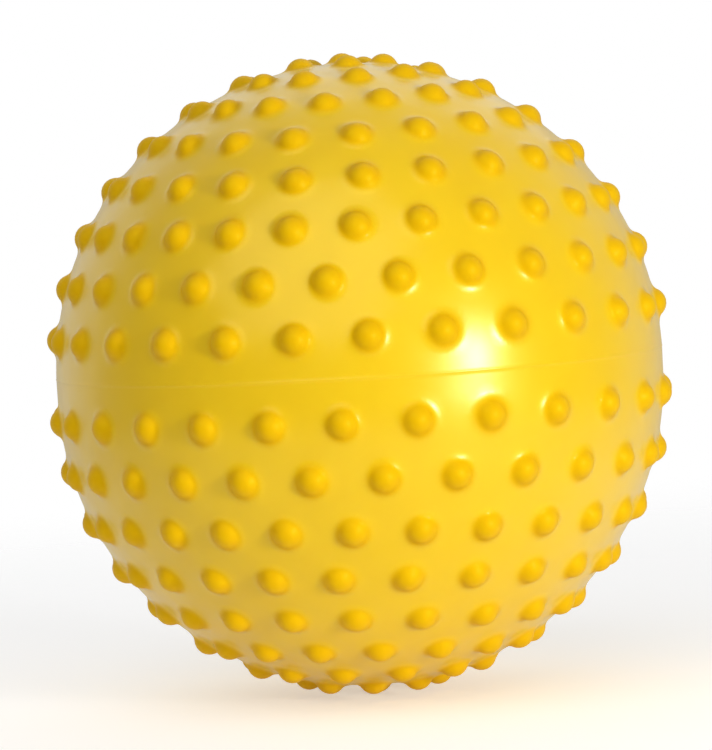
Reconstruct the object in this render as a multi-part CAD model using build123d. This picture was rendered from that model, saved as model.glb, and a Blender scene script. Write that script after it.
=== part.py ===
from build123d import *
import math
import os

# A hand-held medicine ball: one soft PVC shell with solid knobs in rows, a valve bush moulded
# into its wall, a removable valve plug, and loose sand inside. Millimetres, +Z towards the top
# pole, origin at the centre of the shell. The valve is on the +Y side, in the plain band.

# Shell: two hemispheres with a short straight band between them
SHELL_R = 100.0
BAND_HALF_HEIGHT = 2.5
WALL = 3.0

# The halves of the mould part a little above the middle, and leave a fine rib there
SEAM_Z = 4.3
SEAM_RIB_HALF_WIDTH = 0.45
SEAM_RIB_HEIGHT = 0.25

# Knobs: a dome whose ball centre is just under the skin, with a concave fillet at its foot
KNOB_DOME_R = 4.7
KNOB_DOME_CENTRE = -1.2
KNOB_FILLET_R = 1.6
KNOB_FOOT_DEPTH = 0.25
KNOB_FOOT_ANGLE = 12.0
KNOB_ROOT = 1.4

# Rows of knobs in each hemisphere, by latitude from its own flat side: one even pitch
ROW_PITCH = 10.4
UPPER_FIRST_LATITUDE = 8.6
LOWER_FIRST_LATITUDE = 4.2
# Each row: how many knobs, and the first one's longitude from -Y towards +X, in degrees
UPPER_ROWS = [
    (27, 3),
    (27, -4),
    (27, 2),
    (23, 4.5),
    (20, 4),
    (17, -6),
    (12, 9),
    (5, 8),
]
LOWER_ROWS = [
    (27, -2.5),
    (27, 4.5),
    (27, -2),
    (24, -6),
    (21, -3.5),
    (18, 2.5),
    (13, 13),
    (9, -2),
]
# The mould isn't quite regular: its rows and knobs wander by up to this much, in degrees
ROW_LEAN = 1.6
ROW_SAG = 0.75
KNOB_DRIFT = 1.2

# Valve, along +Y at the height of the seam
RECESS_R = 8.0
RECESS_FLOOR_Y = SHELL_R - 2.1
RECESS_CUT_Y = SHELL_R + 2
BOSS_R = 10.0
BOSS_INNER_Y = 90.0
BOSS_ROOT_Y = SHELL_R - 1.5
BUSH_BORE_R = 3.0
BUSH_SLEEVE_R = 4.5
BUSH_FLANGE_R = 7.5
BUSH_FLANGE_INNER_Y = 92.2
BUSH_FLANGE_OUTER_Y = 94.0
BUSH_INNER_Y = 84.0
BUSH_LEAD_IN = 0.5

# Plug: a flat head that lies in the recess, and a shank with sealing rings
PLUG_HEAD_R = 7.4
PLUG_HEAD_THICKNESS = 1.5
PLUG_HEAD_EDGE = 0.5
PLUG_DIMPLE_R = 2.0
PLUG_DIMPLE_DEPTH = 0.6
PLUG_CORE_R = 2.45
PLUG_RING_R = BUSH_BORE_R - 0.05
PLUG_RING_LENGTH = 1.6
PLUG_RING_PITCH = 3.6
PLUG_RING_COUNT = 4
PLUG_FIRST_RING = 1.2
PLUG_LENGTH = 18.0
PLUG_TIP_R = 1.9
PLUG_TIP_LENGTH = 2.0

# Sand: a level-topped fill that clears the inside of the wall as it turns about the Y axis
SAND_GAP = 0.3
SAND_TOP_Z = -34.0
SAND_EDGE = 3.0


def half_section(*edges):
    """Face in the XZ plane, closed along the Z axis."""
    wire = Wire([edge.edge() for edge in edges])
    closing = Line(wire @ 1, wire @ 0)
    return make_face(Wire([*wire.edges(), closing.edge()]))


def skin_point(radius, height, side):
    """Point of the oval outline at a height, in the XZ plane, on one hemisphere's arc."""
    centre_z = side * BAND_HALF_HEIGHT
    return Vector(math.sqrt(radius**2 - (height - centre_z) ** 2), 0, height)


def pole_arc(radius, side, start, end):
    """Arc of one hemisphere between two heights, in the XZ plane."""
    middle = (start + end) / 2
    first, last = skin_point(radius, start, side), skin_point(radius, end, side)
    return ThreePointArc(first, skin_point(radius, middle, side), last)


def oval_section(radius, rib=False):
    """Half section of a ball of this radius, stretched by the band, with or without the rib."""
    low, high = -BAND_HALF_HEIGHT, BAND_HALF_HEIGHT
    edges = [
        pole_arc(radius, -1, low - radius, low),
        Line((radius, 0, low), (radius, 0, high)),
    ]
    if not rib:
        return half_section(*edges, pole_arc(radius, 1, high, high + radius))
    below, above = SEAM_Z - SEAM_RIB_HALF_WIDTH, SEAM_Z + SEAM_RIB_HALF_WIDTH
    crown = Vector(radius + SEAM_RIB_HEIGHT, 0, SEAM_Z)
    lower = pole_arc(radius, 1, high, below)
    upper = pole_arc(radius, 1, above, high + radius)
    return half_section(*edges, lower, ThreePointArc(lower @ 1, crown, upper @ 0), upper)


def knob_blank():
    """One knob along +Z, where z = 0 touches the skin and the foot runs on under it."""
    foot = math.radians(KNOB_FOOT_ANGLE)
    # Centre of the fillet's section, which is tangent to the dome
    fillet_z = KNOB_FILLET_R * math.cos(foot) - KNOB_FOOT_DEPTH
    reach = KNOB_DOME_R + KNOB_FILLET_R
    fillet_x = math.sqrt(reach**2 - (fillet_z - KNOB_DOME_CENTRE) ** 2)
    centre = Vector(fillet_x, 0, fillet_z)
    dome_centre = Vector(0, 0, KNOB_DOME_CENTRE)
    join = dome_centre + (centre - dome_centre) * (KNOB_DOME_R / reach)
    foot_point = centre - Vector(math.sin(foot), 0, math.cos(foot)) * KNOB_FILLET_R
    halfway = (join - centre).normalized() + (foot_point - centre).normalized()
    fillet_middle = centre + halfway.normalized() * KNOB_FILLET_R
    lean = math.atan2(join.X, join.Z - KNOB_DOME_CENTRE) / 2
    dome_middle = dome_centre + Vector(math.sin(lean), 0, math.cos(lean)) * KNOB_DOME_R
    top = Vector(0, 0, KNOB_DOME_CENTRE + KNOB_DOME_R)
    bottom_z = foot_point.Z - KNOB_ROOT
    outline = half_section(
        Line((0, 0, bottom_z), (foot_point.X, 0, bottom_z)),
        Line((foot_point.X, 0, bottom_z), foot_point),
        ThreePointArc(foot_point, fillet_middle, join),
        ThreePointArc(join, dome_middle, top),
    )
    return revolve(outline, Axis.Z)


def wandered(latitude, longitude):
    """Where a knob really stands, in radians, for its regular place in degrees."""
    turn = math.radians(longitude)
    strength = math.sin(2 * math.radians(latitude))
    lean = ROW_LEAN * math.sin(turn) - ROW_SAG * math.cos(2 * turn)
    drift = KNOB_DRIFT * math.cos(2 * turn)
    return math.radians(latitude + strength * lean), math.radians(longitude - drift)


def knob_plane(side, latitude, longitude):
    """Where a knob stands: its origin on the skin, its local Z straight out of it."""
    rise, turn = wandered(latitude, longitude)
    height, flat = math.sin(rise), math.cos(rise)
    normal = Vector(flat * math.sin(turn), -flat * math.cos(turn), side * height)
    centre = Vector(0, 0, side * BAND_HALF_HEIGHT)
    return Plane(origin=centre + normal * SHELL_R, z_dir=normal)


def knob_places():
    """Every knob's plane: the rows of both hemispheres, and one knob on each pole."""
    places = [knob_plane(side, 90, 0) for side in (1, -1)]
    halves = ((1, UPPER_FIRST_LATITUDE, UPPER_ROWS), (-1, LOWER_FIRST_LATITUDE, LOWER_ROWS))
    for side, first_latitude, rows in halves:
        for index, (count, first) in enumerate(rows):
            latitude = first_latitude + index * ROW_PITCH
            for step in range(count):
                places.append(knob_plane(side, latitude, first + step * 360 / count))
    return places


def valve_cylinder(radius, inner_y, outer_y):
    """A cylinder on the valve's axis between two distances from the ball's centre."""
    base = Plane(origin=(0, inner_y, SEAM_Z), z_dir=(0, 1, 0))
    return extrude(base * Circle(radius), amount=outer_y - inner_y)


def bush_outside():
    """The room that the bush takes up in the wall, bore included."""
    sleeve = valve_cylinder(BUSH_SLEEVE_R, BUSH_INNER_Y, RECESS_FLOOR_Y)
    flange = valve_cylinder(BUSH_FLANGE_R, BUSH_FLANGE_INNER_Y, BUSH_FLANGE_OUTER_Y)
    return sleeve + flange


def make_shell():
    skin = revolve(oval_section(SHELL_R, rib=True), Axis.Z)
    knob = knob_blank()
    skin = skin.fuse(*[place * knob for place in knob_places()])
    boss = valve_cylinder(BOSS_R, BOSS_INNER_Y, BOSS_ROOT_Y)
    hollow = revolve(oval_section(SHELL_R - WALL), Axis.Z) - boss
    recess = valve_cylinder(RECESS_R, RECESS_FLOOR_Y, RECESS_CUT_Y)
    return skin - hollow - recess - bush_outside()


def make_valve_bush():
    bore = valve_cylinder(BUSH_BORE_R, BUSH_INNER_Y, RECESS_FLOOR_Y)
    bush = bush_outside() - bore
    inner_mouth = bush.edges().filter_by(GeomType.CIRCLE).sort_by(Axis.Y)[:2]
    return chamfer(inner_mouth.sort_by(SortBy.RADIUS)[0], BUSH_LEAD_IN)


def make_valve_plug():
    """Plug turned about the valve's axis: its head is above local z = 0, its shank below."""
    head = [
        (0, PLUG_HEAD_THICKNESS),
        (PLUG_HEAD_R - PLUG_HEAD_EDGE, PLUG_HEAD_THICKNESS),
        (PLUG_HEAD_R, PLUG_HEAD_THICKNESS - PLUG_HEAD_EDGE),
        (PLUG_HEAD_R, 0),
        (PLUG_CORE_R, 0),
    ]
    shank = []
    for ring in range(PLUG_RING_COUNT):
        start = PLUG_FIRST_RING + ring * PLUG_RING_PITCH
        # Each ring slopes in towards the tip, so that it goes in easily and holds
        shank += [
            (PLUG_CORE_R, -start),
            (PLUG_RING_R, -start),
            (PLUG_CORE_R, -start - PLUG_RING_LENGTH),
        ]
    tip = [
        (PLUG_CORE_R, PLUG_TIP_LENGTH - PLUG_LENGTH),
        (PLUG_TIP_R, -PLUG_LENGTH),
        (0, -PLUG_LENGTH),
    ]
    outline = Polyline(*[(r, 0, z) for r, z in head + shank + tip], close=True)
    body = revolve(make_face(outline.wire()), Axis.Z)
    dimple_r = (PLUG_DIMPLE_R**2 + PLUG_DIMPLE_DEPTH**2) / (2 * PLUG_DIMPLE_DEPTH)
    lift = PLUG_HEAD_THICKNESS + dimple_r - PLUG_DIMPLE_DEPTH
    body -= Pos(0, 0, lift) * Sphere(dimple_r)
    seat = Plane(origin=(0, RECESS_FLOOR_Y, SEAM_Z), z_dir=(0, 1, 0))
    return seat * body


def make_sand_filling():
    """Ball of sand cut level, with its edge rounded where it meets the wall."""
    radius = SHELL_R - WALL - SAND_GAP
    air = Pos(0, 0, SAND_TOP_Z) * Cylinder(
        radius, 2 * radius, align=(Align.CENTER, Align.CENTER, Align.MIN)
    )
    sand = Sphere(radius) - air
    rim = sand.edges().filter_by(GeomType.CIRCLE).sort_by(Axis.Z)[-1]
    return fillet(rim, SAND_EDGE)


def main():
    os.makedirs("parts", exist_ok=True)
    parts = {
        "shell": make_shell(),
        "valve_bush": make_valve_bush(),
        "valve_plug": make_valve_plug(),
        "sand_filling": make_sand_filling(),
    }
    for name, part in parts.items():
        export_step(part, f"parts/{name}.step")
        size = part.bounding_box().size
        print(name, len(part.solids()), round(part.volume), size)
    print("knobs", len(knob_places()))


main()
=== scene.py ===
import math

import bmesh
import bpy
import numpy as np
from mathutils import Matrix, Vector, geometry, noise


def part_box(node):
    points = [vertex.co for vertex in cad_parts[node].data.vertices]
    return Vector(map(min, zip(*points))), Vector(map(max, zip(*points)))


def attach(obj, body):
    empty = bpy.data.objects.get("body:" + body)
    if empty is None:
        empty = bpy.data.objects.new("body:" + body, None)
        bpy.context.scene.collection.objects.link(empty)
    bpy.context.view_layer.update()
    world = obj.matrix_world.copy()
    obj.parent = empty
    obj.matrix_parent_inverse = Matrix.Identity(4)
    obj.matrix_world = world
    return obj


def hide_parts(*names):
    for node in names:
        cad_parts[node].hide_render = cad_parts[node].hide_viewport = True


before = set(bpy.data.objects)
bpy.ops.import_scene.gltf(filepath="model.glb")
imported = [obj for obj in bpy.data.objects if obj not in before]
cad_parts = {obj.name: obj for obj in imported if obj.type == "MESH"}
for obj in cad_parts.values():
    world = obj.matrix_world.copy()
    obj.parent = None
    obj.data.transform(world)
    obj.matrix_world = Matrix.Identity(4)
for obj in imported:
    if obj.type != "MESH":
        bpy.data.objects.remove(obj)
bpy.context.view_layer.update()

# The looks of a knobbed soft-PVC medicine ball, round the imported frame. The frame is in metres,
# +Z towards the top pole, origin at the ball's centre, valve on the +Y side.
MM = 0.001

# Skin of the ball: two hemispheres with a short straight band between them, and how far
# apart the points of its mesh are, outside and inside
SKIN_R = 100 * MM
BAND_HALF_HEIGHT = 2.5 * MM
WALL = 3 * MM
BACKGROUND_SPACING = 2.3 * MM
LINING_SPACING = 7 * MM

# Knobs: a dome, a tight concave fillet, and a wide shallow one that runs out into the skin
DOME_R = 5.1 * MM
DOME_CENTRE = -1.6 * MM
FILLET_R = 1.6 * MM
APRON_R = 7.5 * MM
APRON_ANGLE = math.radians(22)
DOME_RING_POINTS = [8, 14, 18, 22, 22, 22]
FILLET_RING_POINTS = [22, 22]
APRON_RING_POINTS = [22, 22, 22, 20]
# The plain skin's points keep this far from the foot of a knob
KNOB_CLEARANCE = 1.2 * MM
# The knob's colour, part of it painted shade, starts and is full at these distances from its axis
KNOB_COLOUR_EDGE = (6.2 * MM, 5.2 * MM)

# Rows of knobs in each hemisphere: latitude of the first, then (how many, first longitude)
ROW_PITCH = 10.4
UPPER_FIRST_LATITUDE = 8.6
LOWER_FIRST_LATITUDE = 4.2
UPPER_ROWS = [(27, 3), (27, -4), (27, 2), (23, 4.5), (20, 4), (17, -6), (12, 9), (5, 8)]
LOWER_ROWS = [(27, -2.5), (27, 4.5), (27, -2), (24, -6), (21, -3.5), (18, 2.5), (13, 13), (9, -2)]
# The mould isn't quite regular: its rows and knobs wander by up to this much, in degrees
ROW_LEAN = 1.6
ROW_SAG = 0.75
KNOB_DRIFT = 1.2

# Parting line: a fine rib on a very low shoulder, where the two halves of the mould met,
# and the rows of points that carry it
RIB_HEIGHT = 0.09 * MM
RIB_HALF_WIDTH = 0.35 * MM
SHOULDER_HEIGHT = 0.06 * MM
SHOULDER_HALF_WIDTH = 7 * MM
SEAM_ROW_POINTS = 420
SEAM_ROW_OFFSETS = [0, 0.22 * MM, 0.45 * MM, 1.3 * MM, 2.6 * MM]
SEAM_CLEARANCE = 3.4 * MM

# Slight unevenness of a soft blown-up skin: (size of the waves, height of the waves)
WAVES = [(55 * MM, 0.16 * MM), (15 * MM, 0.035 * MM)]

# Valve, about an axis along +Y, from the frame's bush and plug
bush_low, bush_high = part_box("valve_bush")
plug_low, plug_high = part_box("valve_plug")
VALVE_Z = (bush_low.z + bush_high.z) / 2
RECESS_FLOOR = bush_high.y
BUSH_INNER = bush_low.y
FLANGE_R = (bush_high.z - bush_low.z) / 2
SLEEVE_R = 4.5 * MM
BORE_R = 3 * MM
FLANGE_OUTER = 94 * MM
FLANGE_INNER = 92.2 * MM
BOSS_INNER = 90 * MM
BOSS_R = 10 * MM
RECESS_R = 8 * MM
VALVE_POINTS = 48
# No point of a knob or of the plain skin is nearer to the valve's axis than this
VALVE_CLEARANCE = 10.4 * MM
BUSH_ROUNDING = 0.35 * MM
# Between the two ends of the bush's outline, which are in the middle of its bore
BUSH_OUTLINE_GAP = 0.1 * MM
# The most of an edge that one rounded corner takes
ROUNDED_SHARE = 0.45

# Lip of the recess: distance from the valve's axis, and depth under the skin
RECESS_LIP = [
    (BOSS_R, 0),
    (RECESS_R + 0.6 * MM, 0),
    (RECESS_R + 0.25 * MM, 0.06 * MM),
    (RECESS_R + 0.05 * MM, 0.3 * MM),
]
# Foot and floor of the recess: distance from the axis, and height over the floor
RECESS_RINGS = [
    (RECESS_R, 0.3 * MM),
    (RECESS_R - 0.08 * MM, 0.08 * MM),
    (RECESS_R - 0.3 * MM, 0),
    (6.6 * MM, 0),
    (5.4 * MM, 0),
    (SLEEVE_R, 0),
]
# Boss on the inside of the wall: distance from the axis, and place along it
BOSS_RINGS = [
    (BOSS_R + 2.2 * MM, 96.1 * MM),
    (BOSS_R + 0.5 * MM, 95.9 * MM),
    (BOSS_R + 0.1 * MM, 95.3 * MM),
    (BOSS_R, BOSS_INNER + 0.5 * MM),
    (BOSS_R - 0.15 * MM, BOSS_INNER + 0.1 * MM),
    (BOSS_R - 0.6 * MM, BOSS_INNER),
    (SLEEVE_R, BOSS_INNER),
]
# Seat of the bush's flange in the wall: distance from the axis, and place along it
SEAT_RINGS = [
    (SLEEVE_R, FLANGE_OUTER),
    (FLANGE_R, FLANGE_OUTER),
    (FLANGE_R, FLANGE_INNER),
    (SLEEVE_R, FLANGE_INNER),
]

# Plug: a dished head with a fine groove in it, and a shank with sealing rings
PLUG_SEAT = RECESS_FLOOR
PLUG_TOP = plug_high.y
PLUG_TIP = plug_low.y
PLUG_HEAD_R = (plug_high.z - plug_low.z) / 2
PLUG_POINTS = 64
PLUG_ROUNDING = 0.12 * MM
# Dish and groove in the head: distance from the axis, and depth under its face
PLUG_FACE = [
    (0, 0.6 * MM),
    (1.1 * MM, 0.42 * MM),
    (2 * MM, 0),
    (4.9 * MM, 0),
    (5.1 * MM, 0.15 * MM),
    (5.3 * MM, 0.15 * MM),
    (5.5 * MM, 0),
]
# Bevels of the head: its upper edge, and its lower edge (inwards, upwards)
PLUG_UPPER_BEVEL = 0.35 * MM
PLUG_LOWER_BEVEL = (0.2 * MM, 0.12 * MM)
PLUG_CORE_R = 2.45 * MM
PLUG_NECK_BEVEL = 0.2 * MM
PLUG_RING_R = 2.95 * MM
PLUG_RING_COUNT = 4
PLUG_FIRST_RING = 1.2 * MM
PLUG_RING_PITCH = 3.6 * MM
PLUG_RING_SHOULDERS = (0.12 * MM, 0.4 * MM)
PLUG_RING_LENGTH = 1.6 * MM
PLUG_TIP_R = 1.9 * MM
PLUG_TIP_LENGTH = 2 * MM
PLUG_TIP_BEVEL = 0.3 * MM

# Sand, a bed with a rounded edge
sand_low, sand_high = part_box("sand_filling")
SAND_R = -sand_low.z
SAND_TOP = sand_high.z
SAND_EDGE_R = 3 * MM
# Height and size of the ripples and grains on its top
SAND_RIPPLE = 1.1 * MM
SAND_RIPPLE_SIZE = 18 * MM
SAND_GRAIN = 0.5 * MM
SAND_GRAIN_SIZE = 2.4 * MM
SAND_SEGMENTS = 220
SAND_BOWL_RINGS = 40
SAND_EDGE_RINGS = 5
SAND_TOP_RINGS = 60

# Faces that meet at more than this look sharp
SHARP_ANGLE = math.radians(48)

# Colours, roughness and coat of the soft PVC: its skin has clouds and swirls
SKIN_COLOURS = ((0.89, 0.555, 0.001), (0.92, 0.585, 0.002))
SWIRL_COLOUR = (0.93, 0.60, 0.003)
# Knobs: a deeper, more orange tone of the PVC, darkened further as painted shade over each knob
KNOB_TONE_AND_SHADE = ((0.82, 0.462, 0.001), (0.84, 0.482, 0.001))
SKIN_ROUGHNESS = (0.36, 0.43)
KNOB_ROUGHNESS = 0.56
SKIN_COAT = 0.85
KNOB_COAT = 0.02

# View: the ball's middle stands a little right of and above the middle of the frame
CAMERA_ELEVATION = math.radians(3.2)
CAMERA_ROLL = math.radians(3.33)
CAMERA_DISTANCE = 1.3
CAMERA_LENS = 188.7
BALL_RIGHT_OF_MIDDLE = 1.3 * MM
BALL_ABOVE_MIDDLE = 0.3 * MM

# Softboxes: direction from the ball, in degrees to the camera's right and above the camera,
# then distance, size and watts
SOFTBOXES = {
    # The highlight, and a wider, weaker light round it
    "key": (41, 4, 1.25, (0.19, 0.26), 6.9),
    "glow": (39, 5, 1.3, (0.5, 0.5), 2.3),
    # The broad light from above, a little to the left
    "fill": (-20, 38, 1.6, (2.1, 1.9), 10.8),
    # The weak lights behind the ball, for its edges and its back
    "haze": (-132, 12, 1.5, (1.3, 1.3), 0.8),
    "rear": (180, 42, 1.6, (1.6, 1.3), 1.9),
}
# Strength of the surroundings as light: on the camera's side, behind the ball, and what is
# added from above, with how far round and how high each change starts and ends
WORLD_FRONT = 0.21
WORLD_BEHIND = 0.5
WORLD_ABOVE = 0.1
WORLD_TURN = (0.2, 0.6)
WORLD_CLIMB = (0.1, 0.9)
# Distances from the middle between which the floor fades into the white of the studio
FLOOR_FADE = (0.22, 0.8)
# The floor's own glow, as light and to the camera
FLOOR_GLOW = (0.15, 0.42)
FLOOR_GREY = 0.8
FLOOR_ROUGHNESS = 0.9
FLOOR_SEGMENTS = 96


# ---------------------------------------------------------------- camera, light and floor


def view_axes():
    """Right, up and back of the camera."""
    back = Vector((0, -math.cos(CAMERA_ELEVATION), math.sin(CAMERA_ELEVATION)))
    level_up = Vector((0, math.sin(CAMERA_ELEVATION), math.cos(CAMERA_ELEVATION)))
    side = Vector((1, 0, 0))
    right = side * math.cos(CAMERA_ROLL) - level_up * math.sin(CAMERA_ROLL)
    up = side * math.sin(CAMERA_ROLL) + level_up * math.cos(CAMERA_ROLL)
    return right, up, back


def facing(location, right, up, back):
    """Matrix of a camera or light there that looks along -back."""
    turn = Matrix((right, up, back)).transposed().to_4x4()
    return Matrix.Translation(location) @ turn


def make_camera():
    right, up, back = view_axes()
    data = bpy.data.cameras.new("camera")
    data.lens = CAMERA_LENS
    camera = bpy.data.objects.new("camera", data)
    aim = -right * BALL_RIGHT_OF_MIDDLE - up * BALL_ABOVE_MIDDLE
    camera.matrix_world = facing(aim + back * CAMERA_DISTANCE, right, up, back)
    bpy.context.collection.objects.link(camera)
    bpy.context.scene.camera = camera


def make_softbox(name, azimuth, elevation, distance, size, watts):
    """An elliptical softbox that faces the ball from there."""
    right, up, back = view_axes()
    across, above = math.radians(azimuth), math.radians(elevation)
    level = back * math.cos(across) + right * math.sin(across)
    towards = level * math.cos(above) + up * math.sin(above)
    data = bpy.data.lights.new(name, "AREA")
    data.shape = "ELLIPSE"
    data.size, data.size_y = size
    data.energy = watts
    light = bpy.data.objects.new(name, data)
    side = up.cross(towards).normalized()
    light.matrix_world = facing(towards * distance, side, towards.cross(side), towards)
    bpy.context.collection.objects.link(light)


def add_node(tree, kind, **settings):
    """A node of this kind, with inputs given as name=value or properties as _name=value."""
    made = tree.nodes.new(kind)
    for name, value in settings.items():
        if name.startswith("_"):
            setattr(made, name[1:], value)
        else:
            made.inputs[name.replace("_", " ")].default_value = value
    return made


def make_world():
    """Surroundings: white to the camera and, as light, dimmest on the camera's side."""
    world = bpy.data.worlds.new("studio")
    world.use_nodes = True
    bpy.context.scene.world = world
    tree = world.node_tree
    tree.nodes.clear()
    link = tree.links.new
    place = add_node(tree, "ShaderNodeTexCoord")
    split = add_node(tree, "ShaderNodeSeparateXYZ")
    link(place.outputs["Generated"], split.inputs[0])
    depth = between(tree, split.outputs["Y"], WORLD_FRONT, WORLD_BEHIND, *WORLD_TURN)
    height = between(tree, split.outputs["Z"], 0, WORLD_ABOVE, *WORLD_CLIMB)
    strength = add_node(tree, "ShaderNodeMath", _operation="ADD")
    for fade, socket in zip((depth, height), strength.inputs):
        fade.node.interpolation_type = "SMOOTHSTEP"
        link(fade, socket)
    lighting = add_node(tree, "ShaderNodeBackground")
    link(strength.outputs[0], lighting.inputs["Strength"])
    backdrop = add_node(tree, "ShaderNodeBackground")
    path = add_node(tree, "ShaderNodeLightPath")
    mix = add_node(tree, "ShaderNodeMixShader")
    link(path.outputs["Is Camera Ray"], mix.inputs[0])
    for background, socket in ((lighting, mix.inputs[1]), (backdrop, mix.inputs[2])):
        background.inputs["Color"].default_value = (1, 1, 1, 1)
        link(background.outputs[0], socket)
    out = add_node(tree, "ShaderNodeOutputWorld")
    link(mix.outputs[0], out.inputs["Surface"])


def make_floor(height):
    """Pale floor that fades into the white of the studio."""
    bm = bmesh.new()
    bmesh.ops.create_circle(bm, cap_ends=True, segments=FLOOR_SEGMENTS, radius=FLOOR_FADE[1])
    mesh = bpy.data.meshes.new("floor")
    bm.to_mesh(mesh)
    bm.free()
    floor = bpy.data.objects.new("floor", mesh)
    floor.location.z = height
    bpy.context.collection.objects.link(floor)
    material = bpy.data.materials.new("pale_floor")
    material.use_nodes = True
    tree = material.node_tree
    link = tree.links.new
    base = tree.nodes["Principled BSDF"]
    base.inputs["Base Color"].default_value = (FLOOR_GREY, FLOOR_GREY, FLOOR_GREY, 1)
    base.inputs["Roughness"].default_value = FLOOR_ROUGHNESS
    base.inputs["Emission Color"].default_value = (1, 1, 1, 1)
    seen = add_node(tree, "ShaderNodeLightPath").outputs["Is Camera Ray"]
    link(blend_numbers(tree, seen, *FLOOR_GLOW), base.inputs["Emission Strength"])
    place = add_node(tree, "ShaderNodeTexCoord")
    reach = add_node(tree, "ShaderNodeVectorMath", _operation="LENGTH")
    link(place.outputs["Object"], reach.inputs[0])
    fade = between(tree, reach.outputs["Value"], 0, 1, *FLOOR_FADE)
    fade.node.interpolation_type = "SMOOTHSTEP"
    clear = add_node(tree, "ShaderNodeBsdfTransparent")
    mix = add_node(tree, "ShaderNodeMixShader")
    link(fade, mix.inputs[0])
    link(base.outputs[0], mix.inputs[1])
    link(clear.outputs[0], mix.inputs[2])
    link(mix.outputs[0], tree.nodes["Material Output"].inputs["Surface"])
    mesh.materials.append(material)


# ---------------------------------------------------------------- the ball's skin


def skin_radius(heights, radius):
    """Distance of the skin from the Z axis at these heights."""
    past_band = np.clip(np.abs(heights) - BAND_HALF_HEIGHT, 0, radius)
    return np.sqrt(radius**2 - past_band**2)


def wandered(latitude, longitude):
    """Where a knob really stands, in radians, for its regular place in degrees."""
    turn = math.radians(longitude)
    strength = math.sin(2 * math.radians(latitude))
    lean = ROW_LEAN * math.sin(turn) - ROW_SAG * math.cos(2 * turn)
    drift = KNOB_DRIFT * math.cos(2 * turn)
    return math.radians(latitude + strength * lean), math.radians(longitude - drift)


def knob_sites():
    """Centre of the hemisphere and outward normal of every knob."""
    centres, normals = [], []
    halves = ((1, UPPER_FIRST_LATITUDE, UPPER_ROWS), (-1, LOWER_FIRST_LATITUDE, LOWER_ROWS))
    for side, first_latitude, rows in halves:
        places = [(90, 0)]
        for index, (count, first) in enumerate(rows):
            latitude = first_latitude + index * ROW_PITCH
            places += [(latitude, first + step * 360 / count) for step in range(count)]
        for place in places:
            rise, turn = wandered(*place)
            flat = math.cos(rise)
            towards = (math.sin(turn) * flat, -math.cos(turn) * flat)
            normals.append((*towards, side * math.sin(rise)))
            centres.append((0, 0, side * BAND_HALF_HEIGHT))
    return np.array(centres), np.array(normals)


class KnobProfile:
    """Height of a knob above the skin against the distance from its axis."""

    def __init__(self):
        self.fillet_height = APRON_R - (APRON_R - FILLET_R) * math.cos(APRON_ANGLE)
        reach = DOME_R + FILLET_R
        self.fillet_out = math.sqrt(reach**2 - (self.fillet_height - DOME_CENTRE) ** 2)
        self.join_angle = math.asin(self.fillet_out / reach)
        self.join = DOME_R * math.sin(self.join_angle)
        self.apron = self.fillet_out - FILLET_R * math.sin(APRON_ANGLE)
        self.foot = self.apron + APRON_R * math.sin(APRON_ANGLE)

    def rings(self):
        """(distance from the axis, number of points) of each ring of points on a knob."""
        rings = []
        for index, count in enumerate(DOME_RING_POINTS):
            # Rings get closer together down the side of the dome
            share = math.sin(math.radians(90) * (index + 1) / len(DOME_RING_POINTS))
            rings.append((DOME_R * math.sin(self.join_angle * share), count))
        for index, count in enumerate(FILLET_RING_POINTS):
            share = (index + 1) / len(FILLET_RING_POINTS)
            angle = self.join_angle + (APRON_ANGLE - self.join_angle) * share
            rings.append((self.fillet_out - FILLET_R * math.sin(angle), count))
        for index, count in enumerate(APRON_RING_POINTS):
            angle = APRON_ANGLE * (1 - (index + 1) / len(APRON_RING_POINTS))
            rings.append((self.foot - APRON_R * math.sin(angle), count))
        return rings

    def heights(self, distances):
        """Height above the skin at each distance from the axis."""
        dome = DOME_CENTRE + np.sqrt(np.clip(DOME_R**2 - distances**2, 0, None))
        inside = np.clip(self.fillet_out - distances, 0, FILLET_R)
        fillet = self.fillet_height - np.sqrt(FILLET_R**2 - inside**2)
        inside = np.clip(self.foot - distances, 0, APRON_R)
        apron = APRON_R - np.sqrt(APRON_R**2 - inside**2)
        outside = np.where(distances < self.apron, fillet, apron)
        return np.where(distances < self.join, dome, outside)


def valve_distance(points):
    """Distance from the valve's axis, large for points on the far side of the ball."""
    away = np.hypot(points[:, 0], points[:, 2] - VALVE_Z)
    return np.where(points[:, 1] > 0, away, SKIN_R)


def nearest_knob(points, tips):
    """Index of the nearest knob and the distance to it."""
    squares = (points**2).sum(1)[:, None] + (tips**2).sum(1) - 2 * points @ tips.T
    nearest = squares.argmin(1)
    return nearest, np.sqrt(np.clip(squares[np.arange(len(points)), nearest], 0, None))


def knob_points(centres, normals, profile):
    """Rings of points on all knobs: places on the bare skin, outward normals, heights over it,
    and distances from the knob's axis."""
    across, along, distances = [0.0], [0.0], [0.0]
    for index, (distance, count) in enumerate(profile.rings()):
        for step in range(count):
            angle = math.tau * (step + index % 2 / 2) / count
            across.append(distance * math.cos(angle))
            along.append(distance * math.sin(angle))
            distances.append(distance)
    across, along, distances = map(np.array, (across, along, distances))
    sink = np.sqrt(SKIN_R**2 - distances**2)
    first = np.cross(normals, (0.0, 0.0, 1.0))
    first[np.linalg.norm(first, axis=1) < 1e-6] = (1, 0, 0)
    first /= np.linalg.norm(first, axis=1)[:, None]
    second = np.cross(normals, first)
    base = centres[:, None] + normals[:, None] * sink[None, :, None]
    base = base + first[:, None] * across[None, :, None] + second[:, None] * along[None, :, None]
    owners = np.repeat(np.arange(len(normals)), len(distances))
    base = base.reshape(-1, 3)
    heights = np.tile(profile.heights(distances), len(normals))
    nearest, _ = nearest_knob(base, centres + normals * SKIN_R)
    keep = (nearest == owners) & (valve_distance(base) > VALVE_CLEARANCE)
    return base[keep], normals[owners][keep], heights[keep], np.tile(distances, len(normals))[keep]


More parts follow.
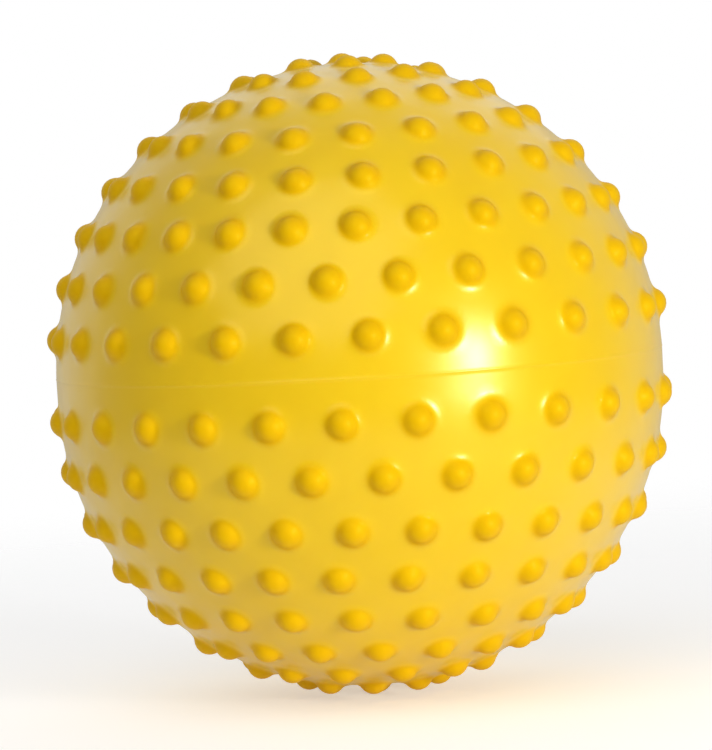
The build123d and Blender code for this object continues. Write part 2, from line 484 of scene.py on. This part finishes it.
def outward(points):
    """Unit normals of the bare skin at these points."""
    centre_z = np.clip(points[:, 2], -BAND_HALF_HEIGHT, BAND_HALF_HEIGHT)
    away = points - np.stack([0 * centre_z, 0 * centre_z, centre_z], 1)
    return away / np.linalg.norm(away, axis=1)[:, None]


def even_points(radius, spacing):
    """Points spread evenly over the whole stretched ball along a spiral."""
    count = int(4 * math.pi * radius**2 / (spacing**2 * math.sqrt(3) / 2))
    index = np.arange(count)
    heights = (1 - (2 * index + 1) / count) * (radius + BAND_HALF_HEIGHT)
    angles = index * math.pi * (3 - math.sqrt(5))
    out = skin_radius(heights, radius)
    return np.stack([out * np.cos(angles), out * np.sin(angles), heights], 1)


def seam_points():
    """Rows of points along the parting line."""
    angles = np.arange(SEAM_ROW_POINTS) * math.tau / SEAM_ROW_POINTS
    offsets = sorted({side * offset for offset in SEAM_ROW_OFFSETS for side in (-1, 1)})
    rows = []
    for offset in offsets:
        height = np.full(SEAM_ROW_POINTS, VALVE_Z + offset)
        out = skin_radius(height, SKIN_R)
        rows.append(np.stack([out * np.cos(angles), out * np.sin(angles), height], 1))
    return np.concatenate(rows)


def seam_heights(points):
    """Height of the rib and its shoulder above the bare skin."""
    away = np.abs(points[:, 2] - VALVE_Z)
    rib = RIB_HEIGHT * np.clip(1 - (away / RIB_HALF_WIDTH) ** 2, 0, 1)
    shoulder = SHOULDER_HEIGHT * np.clip(1 - away / SHOULDER_HALF_WIDTH, 0, 1) ** 2
    return rib + shoulder


def wave_heights(points):
    """Slight unevenness, the same on every run."""
    total = np.zeros(len(points))
    for size, height in WAVES:
        total += height * np.array([noise.noise(Vector(p) / size) for p in points])
    return total


def valve_ring(distance, y):
    """Ring of points about the valve's axis; with no y, on the bare skin."""
    angles = np.arange(VALVE_POINTS) * math.tau / VALVE_POINTS
    x, z = distance * np.cos(angles), VALVE_Z + distance * np.sin(angles)
    if y is None:
        y = np.sqrt(skin_radius(z, SKIN_R) ** 2 - x**2)
    return np.stack([x, np.broadcast_to(y, x.shape), z], 1)


def triangulate(points):
    """Triangles over points round the origin, open inside the ring nearest the valve's axis."""
    pole = Vector((0, RECESS_FLOOR, VALVE_Z)).normalized()
    units = points / np.linalg.norm(points, axis=1)[:, None]
    side = np.array((1.0, 0.0, 0.0))
    top = np.cross(side, pole)
    # A projection from the valve's direction keeps circles round, so flat triangles suit the ball
    spread = 1 - units @ np.array(pole)
    flat = [Vector(pair) for pair in zip(units @ side / spread, units @ top / spread)]
    made = geometry.delaunay_2d_cdt(flat, [], [], 0, 1e-9, True)
    triangles, sources = made[2], made[3]
    return [[sources[corner][0] for corner in triangle] for triangle in triangles]


def valve_rings(rings, base_y=0):
    """Rings of points about the valve's axis from (distance, y over base_y)."""
    return np.concatenate([valve_ring(distance, base_y + y) for distance, y in rings])


def rings_on_skin(rings):
    """Rings at the same distances on the bare skin, for the triangles between them."""
    return np.concatenate([valve_ring(distance, None) for distance, _ in rings])


def plain_points(profile, tips):
    """Points on the skin between the knobs, and along the parting line."""
    plain = even_points(SKIN_R, BACKGROUND_SPACING)
    plain = plain[np.abs(plain[:, 2] - VALVE_Z) > SEAM_CLEARANCE]
    plain = np.concatenate([plain, seam_points()])
    _, apart = nearest_knob(plain, tips)
    plain = plain[apart > profile.foot + KNOB_CLEARANCE]
    return plain[valve_distance(plain) > VALVE_CLEARANCE]


def make_outside():
    """Outside of the ball down to the bush: points, faces, and share of knob colour."""
    profile = KnobProfile()
    centres, normals = knob_sites()
    knobs, knob_up, knob_heights, from_axis = knob_points(centres, normals, profile)
    plain = plain_points(profile, centres + normals * SKIN_R)
    soft = np.concatenate([plain, rings_on_skin(RECESS_LIP)])
    sunk = np.repeat([depth for _, depth in RECESS_LIP], VALVE_POINTS)
    base = np.concatenate([knobs, soft])
    up = np.concatenate([knob_up, outward(soft)])
    heights = np.concatenate([knob_heights, np.zeros(len(plain)), -sunk])
    skin = base + up * (heights + seam_heights(base) + wave_heights(base))[:, None]
    points = np.concatenate([skin, valve_rings(RECESS_RINGS, RECESS_FLOOR)])
    faces = triangulate(np.concatenate([base, rings_on_skin(RECESS_RINGS)]))
    colour = np.zeros(len(points))
    # Share of the knobs' colour and matt finish; their darker colour is partly painted shade
    colour[: len(from_axis)] = smooth_step(from_axis, *KNOB_COLOUR_EDGE)
    return points, faces, colour


def make_lining():
    """Inside of the wall, with its boss round the valve: points and faces."""
    lining = even_points(SKIN_R - WALL, LINING_SPACING)
    lining = lining[valve_distance(lining) > BOSS_R + LINING_SPACING / 2]
    faces = triangulate(np.concatenate([lining, rings_on_skin(BOSS_RINGS)]))
    return np.concatenate([lining, valve_rings(BOSS_RINGS)]), faces


def joining_faces(loops):
    """Quads between each closed loop of point numbers and the next."""
    faces = []
    for outer, inner in zip(loops, loops[1:]):
        for here in range(VALVE_POINTS):
            there = (here + 1) % VALVE_POINTS
            corners = (outer[here], outer[there], inner[there], inner[here])
            faces.append([int(corner) for corner in corners])
    return faces


def make_shell_mesh():
    """Closed soft shell: its outside, its lining, and the seat of the bush between them."""
    outside, faces, colour = make_outside()
    lining, lining_faces = make_lining()
    lining_start = len(outside)
    faces += [[corner + lining_start for corner in face] for face in lining_faces]
    points = np.concatenate([outside, lining, valve_rings(SEAT_RINGS)])
    seat_start = lining_start + len(lining)
    loop = np.arange(VALVE_POINTS)
    loops = [lining_start - VALVE_POINTS + loop]
    loops += [seat_start + row * VALVE_POINTS + loop for row in range(len(SEAT_RINGS))]
    loops += [seat_start - VALVE_POINTS + loop]
    faces += joining_faces(loops)
    colour = np.concatenate([colour, np.zeros(len(points) - len(colour))])
    return points, faces, colour


def smooth_step(values, start, end):
    """From 0 to 1 as the values go from start to end, gently at both ends."""
    t = np.clip((values - start) / (end - start), 0, 1)
    return t * t * (3 - 2 * t)


def new_piece(name, points, faces, body, slot, material, *nodes):
    """A smooth mesh piece with its outside out, on its body, in place of those CAD nodes."""
    mesh = bpy.data.meshes.new(name)
    mesh.from_pydata([tuple(point) for point in points], [], faces)
    bm = bmesh.new()
    bm.from_mesh(mesh)
    bmesh.ops.recalc_face_normals(bm, faces=bm.faces)
    bm.to_mesh(mesh)
    bm.free()
    mesh.shade_smooth()
    mesh.set_sharp_from_angle(angle=SHARP_ANGLE)
    mesh.materials.append(material)
    piece = bpy.data.objects.new(name, mesh)
    bpy.context.collection.objects.link(piece)
    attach(piece, body)
    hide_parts(*nodes)
    return piece


# ---------------------------------------------------------------- turned pieces


def turned(outline, segments, place):
    """Points and faces of a closed solid turned about local Z; outline is (radius, height)."""
    points, faces, rows = [], [], []
    for radius, height in outline:
        if radius == 0:
            rows.append([len(points)])
            points.append(place @ Vector((0, 0, height)))
            continue
        row = []
        for step in range(segments):
            angle = math.tau * step / segments
            row.append(len(points))
            spot = Vector((radius * math.cos(angle), radius * math.sin(angle), height))
            points.append(place @ spot)
        rows.append(row)
    pairs = list(zip(rows, rows[1:]))
    if outline[0][0] > 0:
        pairs.append((rows[-1], rows[0]))
    for upper, lower in pairs:
        for step in range(segments):
            after = (step + 1) % segments
            if len(upper) == 1:
                faces.append([upper[0], lower[step], lower[after]])
            elif len(lower) == 1:
                faces.append([upper[step], lower[0], upper[after]])
            else:
                faces.append([upper[step], lower[step], lower[after], upper[after]])
    return points, faces


def rounded(corners, radius, steps=3):
    """Outline with each inner corner of the list replaced by a small curve."""
    out = [corners[0]]
    for before, corner, after in zip(corners, corners[1:], corners[2:]):
        here = Vector(corner)
        back, on = Vector(before) - here, Vector(after) - here
        cut = min(radius, back.length * ROUNDED_SHARE, on.length * ROUNDED_SHARE)
        start, end = here + back.normalized() * cut, here + on.normalized() * cut
        for step in range(steps + 1):
            t = step / steps
            spot = start * (1 - t) ** 2 + here * 2 * t * (1 - t) + end * t**2
            out.append((spot.x, spot.y))
    out.append(corners[-1])
    return out


def valve_place(y):
    """Local Z along the valve's axis, outwards, with z = 0 at this y."""
    turn = Matrix.Rotation(-math.pi / 2, 4, "X")
    return Matrix.Translation((0, y, VALVE_Z)) @ turn


def make_bush():
    """Soft insert: a sleeve with a flange locked in the wall and a rounded mouth to its bore."""
    top, bottom = 0.0, BUSH_INNER - RECESS_FLOOR
    flange_top, flange_bottom = FLANGE_OUTER - RECESS_FLOOR, FLANGE_INNER - RECESS_FLOOR
    middle = (top + bottom) / 2
    corners = [
        (BORE_R, middle),
        (BORE_R, top),
        (SLEEVE_R, top),
        (SLEEVE_R, flange_top),
        (FLANGE_R, flange_top),
        (FLANGE_R, flange_bottom),
        (SLEEVE_R, flange_bottom),
        (SLEEVE_R, bottom),
        (BORE_R, bottom),
        (BORE_R, middle - BUSH_OUTLINE_GAP),
    ]
    outline = rounded(corners, BUSH_ROUNDING)
    points, faces = turned(outline, VALVE_POINTS, valve_place(RECESS_FLOOR))
    material = rubber("natural_rubber")
    new_piece("bush", points, faces, "ball", "bush_rubber", material, "valve_bush")


def make_plug():
    """Plug with a dished head, a fine groove in it, and sealing rings down its shank."""
    head, length = PLUG_TOP - PLUG_SEAT, PLUG_SEAT - PLUG_TIP
    bevel_in, bevel_up = PLUG_LOWER_BEVEL
    corners = [(radius, head - depth) for radius, depth in PLUG_FACE]
    corners += [
        (PLUG_HEAD_R - PLUG_UPPER_BEVEL, head),
        (PLUG_HEAD_R, head - PLUG_UPPER_BEVEL),
        (PLUG_HEAD_R, bevel_up),
        (PLUG_HEAD_R - bevel_in, 0.0),
        (PLUG_CORE_R + PLUG_NECK_BEVEL, 0.0),
        (PLUG_CORE_R, -PLUG_NECK_BEVEL),
    ]
    for index in range(PLUG_RING_COUNT):
        start = -(PLUG_FIRST_RING + PLUG_RING_PITCH * index)
        corners.append((PLUG_CORE_R, start))
        corners += [(PLUG_RING_R, start - shoulder) for shoulder in PLUG_RING_SHOULDERS]
        corners.append((PLUG_CORE_R, start - PLUG_RING_LENGTH))
    corners += [
        (PLUG_CORE_R, PLUG_TIP_LENGTH - length),
        (PLUG_TIP_R, PLUG_TIP_BEVEL - length),
        (PLUG_TIP_R - PLUG_TIP_BEVEL, -length),
        (0, -length),
    ]
    outline = rounded(corners, PLUG_ROUNDING, steps=2)
    points, faces = turned(outline, PLUG_POINTS, valve_place(PLUG_SEAT))
    material = plastic("white_plastic")
    new_piece("plug", points, faces, "plug", "plug_plastic", material, "valve_plug")


def make_sand():
    """Bed of loose sand: round below, and uneven and rippled on top."""
    centre_r = SAND_R - SAND_EDGE_R
    edge_z = SAND_TOP - SAND_EDGE_R
    edge_out = math.sqrt(centre_r**2 - edge_z**2)
    touch = math.atan2(edge_z, edge_out)
    outline = [(0, -SAND_R)]
    for step in range(1, SAND_BOWL_RINGS + 1):
        angle = -math.pi / 2 + (touch + math.pi / 2) * step / SAND_BOWL_RINGS
        outline.append((SAND_R * math.cos(angle), SAND_R * math.sin(angle)))
    for step in range(1, SAND_EDGE_RINGS + 1):
        angle = touch + (math.pi / 2 - touch) * step / SAND_EDGE_RINGS
        spot = (edge_out + SAND_EDGE_R * math.cos(angle), edge_z + SAND_EDGE_R * math.sin(angle))
        outline.append(spot)
    for step in range(1, SAND_TOP_RINGS):
        outline.append((edge_out * (1 - step / SAND_TOP_RINGS), SAND_TOP))
    outline.append((0, SAND_TOP))
    points, faces = turned(outline, SAND_SEGMENTS, Matrix.Identity(4))
    for point in points:
        share = smooth_step(point.z, edge_z, SAND_TOP)
        ripple = noise.noise(point / SAND_RIPPLE_SIZE) * SAND_RIPPLE
        grain = noise.noise(point / SAND_GRAIN_SIZE) * SAND_GRAIN
        point.z += share * (ripple + grain - SAND_RIPPLE)
    material = sand("iron_sand")
    new_piece("sand", points, faces, "filling", "iron_sand", material, "sand_filling")


# ---------------------------------------------------------------- materials


def new_material(name):
    material = bpy.data.materials.new(name)
    material.use_nodes = True
    tree = material.node_tree
    return material, tree, tree.nodes["Principled BSDF"]


def pattern(tree, place, scale, detail=2.0, distortion=0.0):
    """Noise with features of about this size in metres, in the piece's own frame."""
    made = add_node(tree, "ShaderNodeTexNoise", Detail=detail, Distortion=distortion)
    made.inputs["Scale"].default_value = 1 / scale
    tree.links.new(place.outputs["Object"], made.inputs["Vector"])
    return made.outputs["Fac"]


def between(tree, factor, low, high, start=0.3, end=0.7):
    """A number that goes from low to high as the factor goes from start to end."""
    made = add_node(tree, "ShaderNodeMapRange")
    for name, value in (("From Min", start), ("From Max", end), ("To Min", low), ("To Max", high)):
        made.inputs[name].default_value = value
    tree.links.new(factor, made.inputs["Value"])
    return made.outputs["Result"]


def blend_colours(tree, factor, first, second):
    """Mix of two colours, each a tuple or another node's output."""
    # Sockets 6 and 7 hold a mix's colours, and its third output is the mixed colour
    made = add_node(tree, "ShaderNodeMix", _data_type="RGBA")
    tree.links.new(factor, made.inputs["Factor"])
    for socket, colour in ((made.inputs[6], first), (made.inputs[7], second)):
        if isinstance(colour, tuple):
            socket.default_value = (*colour, 1)
        else:
            tree.links.new(colour, socket)
    return made.outputs[2]


def blend_numbers(tree, factor, first, second):
    """Mix of two numbers, each a value or another node's output."""
    # Sockets 2 and 3 hold a mix's numbers, and its first output is the mixed number
    made = add_node(tree, "ShaderNodeMix", _data_type="FLOAT")
    tree.links.new(factor, made.inputs["Factor"])
    for socket, number in ((made.inputs[2], first), (made.inputs[3], second)):
        if isinstance(number, (int, float)):
            socket.default_value = number
        else:
            tree.links.new(number, socket)
    return made.outputs[0]


def bumps(tree, heights):
    """Bump nodes in a chain from (factor, depth in metres, strength)."""
    normal = None
    for factor, depth, strength in heights:
        made = add_node(tree, "ShaderNodeBump", Strength=strength, Distance=depth)
        tree.links.new(factor, made.inputs["Height"])
        if normal is not None:
            tree.links.new(normal, made.inputs["Normal"])
        normal = made.outputs["Normal"]
    return normal


def soft_pvc(name):
    """Satin yellow PVC, a little deeper and more matt on the knobs, darker there partly as painted
    shade.
    """
    material, tree, base = new_material(name)
    link = tree.links.new
    place = add_node(tree, "ShaderNodeTexCoord")
    on_knob = add_node(tree, "ShaderNodeAttribute", _attribute_name="knob").outputs["Fac"]
    cloud = pattern(tree, place, 42 * MM, detail=3, distortion=0.6)
    swirl = pattern(tree, place, 14 * MM, detail=2, distortion=1.6)
    smudge = pattern(tree, place, 9 * MM, detail=4, distortion=0.3)
    skin = blend_colours(tree, between(tree, cloud, 0, 1), *SKIN_COLOURS)
    skin = blend_colours(tree, between(tree, swirl, 0, 0.35), skin, SWIRL_COLOUR)
    # Knob colour: the PVC's more orange tone, with painted shade darkening it
    dome = blend_colours(tree, between(tree, swirl, 0, 1), *KNOB_TONE_AND_SHADE)
    link(blend_colours(tree, on_knob, skin, dome), base.inputs["Base Color"])
    smudged = between(tree, smudge, *SKIN_ROUGHNESS)
    link(blend_numbers(tree, on_knob, smudged, KNOB_ROUGHNESS), base.inputs["Roughness"])
    link(blend_numbers(tree, on_knob, SKIN_COAT, KNOB_COAT), base.inputs["Coat Weight"])
    base.inputs["Coat Roughness"].default_value = 0.26
    base.inputs["Coat IOR"].default_value = 1.5
    base.inputs["Specular IOR Level"].default_value = 0.6
    base.inputs["Specular Tint"].default_value = (1.0, 0.95, 0.03, 1)
    base.inputs["Subsurface Weight"].default_value = 0.10
    base.inputs["Subsurface Radius"].default_value = (1.0, 0.6, 0.1)
    base.inputs["Subsurface Scale"].default_value = 3 * MM
    base.inputs["IOR"].default_value = 1.62
    peel = pattern(tree, place, 1.6 * MM, detail=1)
    ripple = pattern(tree, place, 7 * MM, detail=1, distortion=0.5)
    normal = bumps(tree, [(ripple, 0.03 * MM, 0.6), (peel, 0.012 * MM, 0.5)])
    link(normal, base.inputs["Normal"])
    return material


def rubber(name):
    """Matt natural rubber with a fine bloom."""
    material, tree, base = new_material(name)
    link = tree.links.new
    place = add_node(tree, "ShaderNodeTexCoord")
    bloom = pattern(tree, place, 2.2 * MM, detail=5, distortion=0.5)
    colour = blend_colours(
        tree, between(tree, bloom, 0, 1), (0.66, 0.44, 0.035), (0.74, 0.52, 0.08)
    )
    link(colour, base.inputs["Base Color"])
    link(between(tree, bloom, 0.55, 0.75), base.inputs["Roughness"])
    grain = pattern(tree, place, 0.35 * MM, detail=2)
    link(bumps(tree, [(grain, 0.02 * MM, 0.5)]), base.inputs["Normal"])
    base.inputs["Subsurface Weight"].default_value = 0.1
    base.inputs["Subsurface Scale"].default_value = 1.5 * MM
    return material


def plastic(name):
    """Semi-matt white plastic with the fine spark texture of its mould and a few scuffs."""
    material, tree, base = new_material(name)
    link = tree.links.new
    place = add_node(tree, "ShaderNodeTexCoord")
    scuff = pattern(tree, place, 1.8 * MM, detail=6, distortion=1.2)
    colour = blend_colours(
        tree, between(tree, scuff, 0, 1), (0.80, 0.79, 0.73), (0.86, 0.85, 0.81)
    )
    link(colour, base.inputs["Base Color"])
    link(between(tree, scuff, 0.34, 0.50), base.inputs["Roughness"])
    spark = pattern(tree, place, 0.22 * MM, detail=1)
    link(bumps(tree, [(spark, 0.012 * MM, 0.5)]), base.inputs["Normal"])
    base.inputs["Subsurface Weight"].default_value = 0.15
    base.inputs["Subsurface Scale"].default_value = 1.0 * MM
    return material


def sand(name):
    """Dark iron sand: grains of several greys and browns, some of them shiny."""
    material, tree, base = new_material(name)
    link = tree.links.new
    place = add_node(tree, "ShaderNodeTexCoord")
    grains = add_node(tree, "ShaderNodeTexVoronoi", Scale=1 / (0.7 * MM))
    link(place.outputs["Object"], grains.inputs["Vector"])
    pick = add_node(tree, "ShaderNodeSeparateColor")
    link(grains.outputs["Color"], pick.inputs[0])
    colour = blend_colours(tree, pick.outputs[0], (0.035, 0.030, 0.028), (0.17, 0.13, 0.10))
    light = between(tree, pick.outputs[1], 0, 1, 0.9, 0.95)
    link(blend_colours(tree, light, colour, (0.42, 0.36, 0.28)), base.inputs["Base Color"])
    link(between(tree, pick.outputs[2], 0.35, 0.9, 0, 1), base.inputs["Roughness"])
    heap = pattern(tree, place, 3 * MM, detail=3)
    normal = bumps(tree, [(heap, 0.4 * MM, 0.4), (grains.outputs["Distance"], 0.3 * MM, 0.7)])
    link(normal, base.inputs["Normal"])
    return material


# ---------------------------------------------------------------- the whole


def make_ball():
    points, faces, knob = make_shell_mesh()
    ball = new_piece(
        "ball_shell", points, faces, "ball", "soft_pvc", soft_pvc("soft_pvc_yellow"), "shell"
    )
    ball.data.attributes.new("knob", "FLOAT", "POINT").data.foreach_set("value", knob)


bpy.context.scene.view_settings.view_transform = "Standard"
make_camera()
make_world()
for softbox, settings in SOFTBOXES.items():
    make_softbox(softbox, *settings)
make_floor(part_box("shell")[0].z)
make_ball()
make_bush()
make_plug()
make_sand()
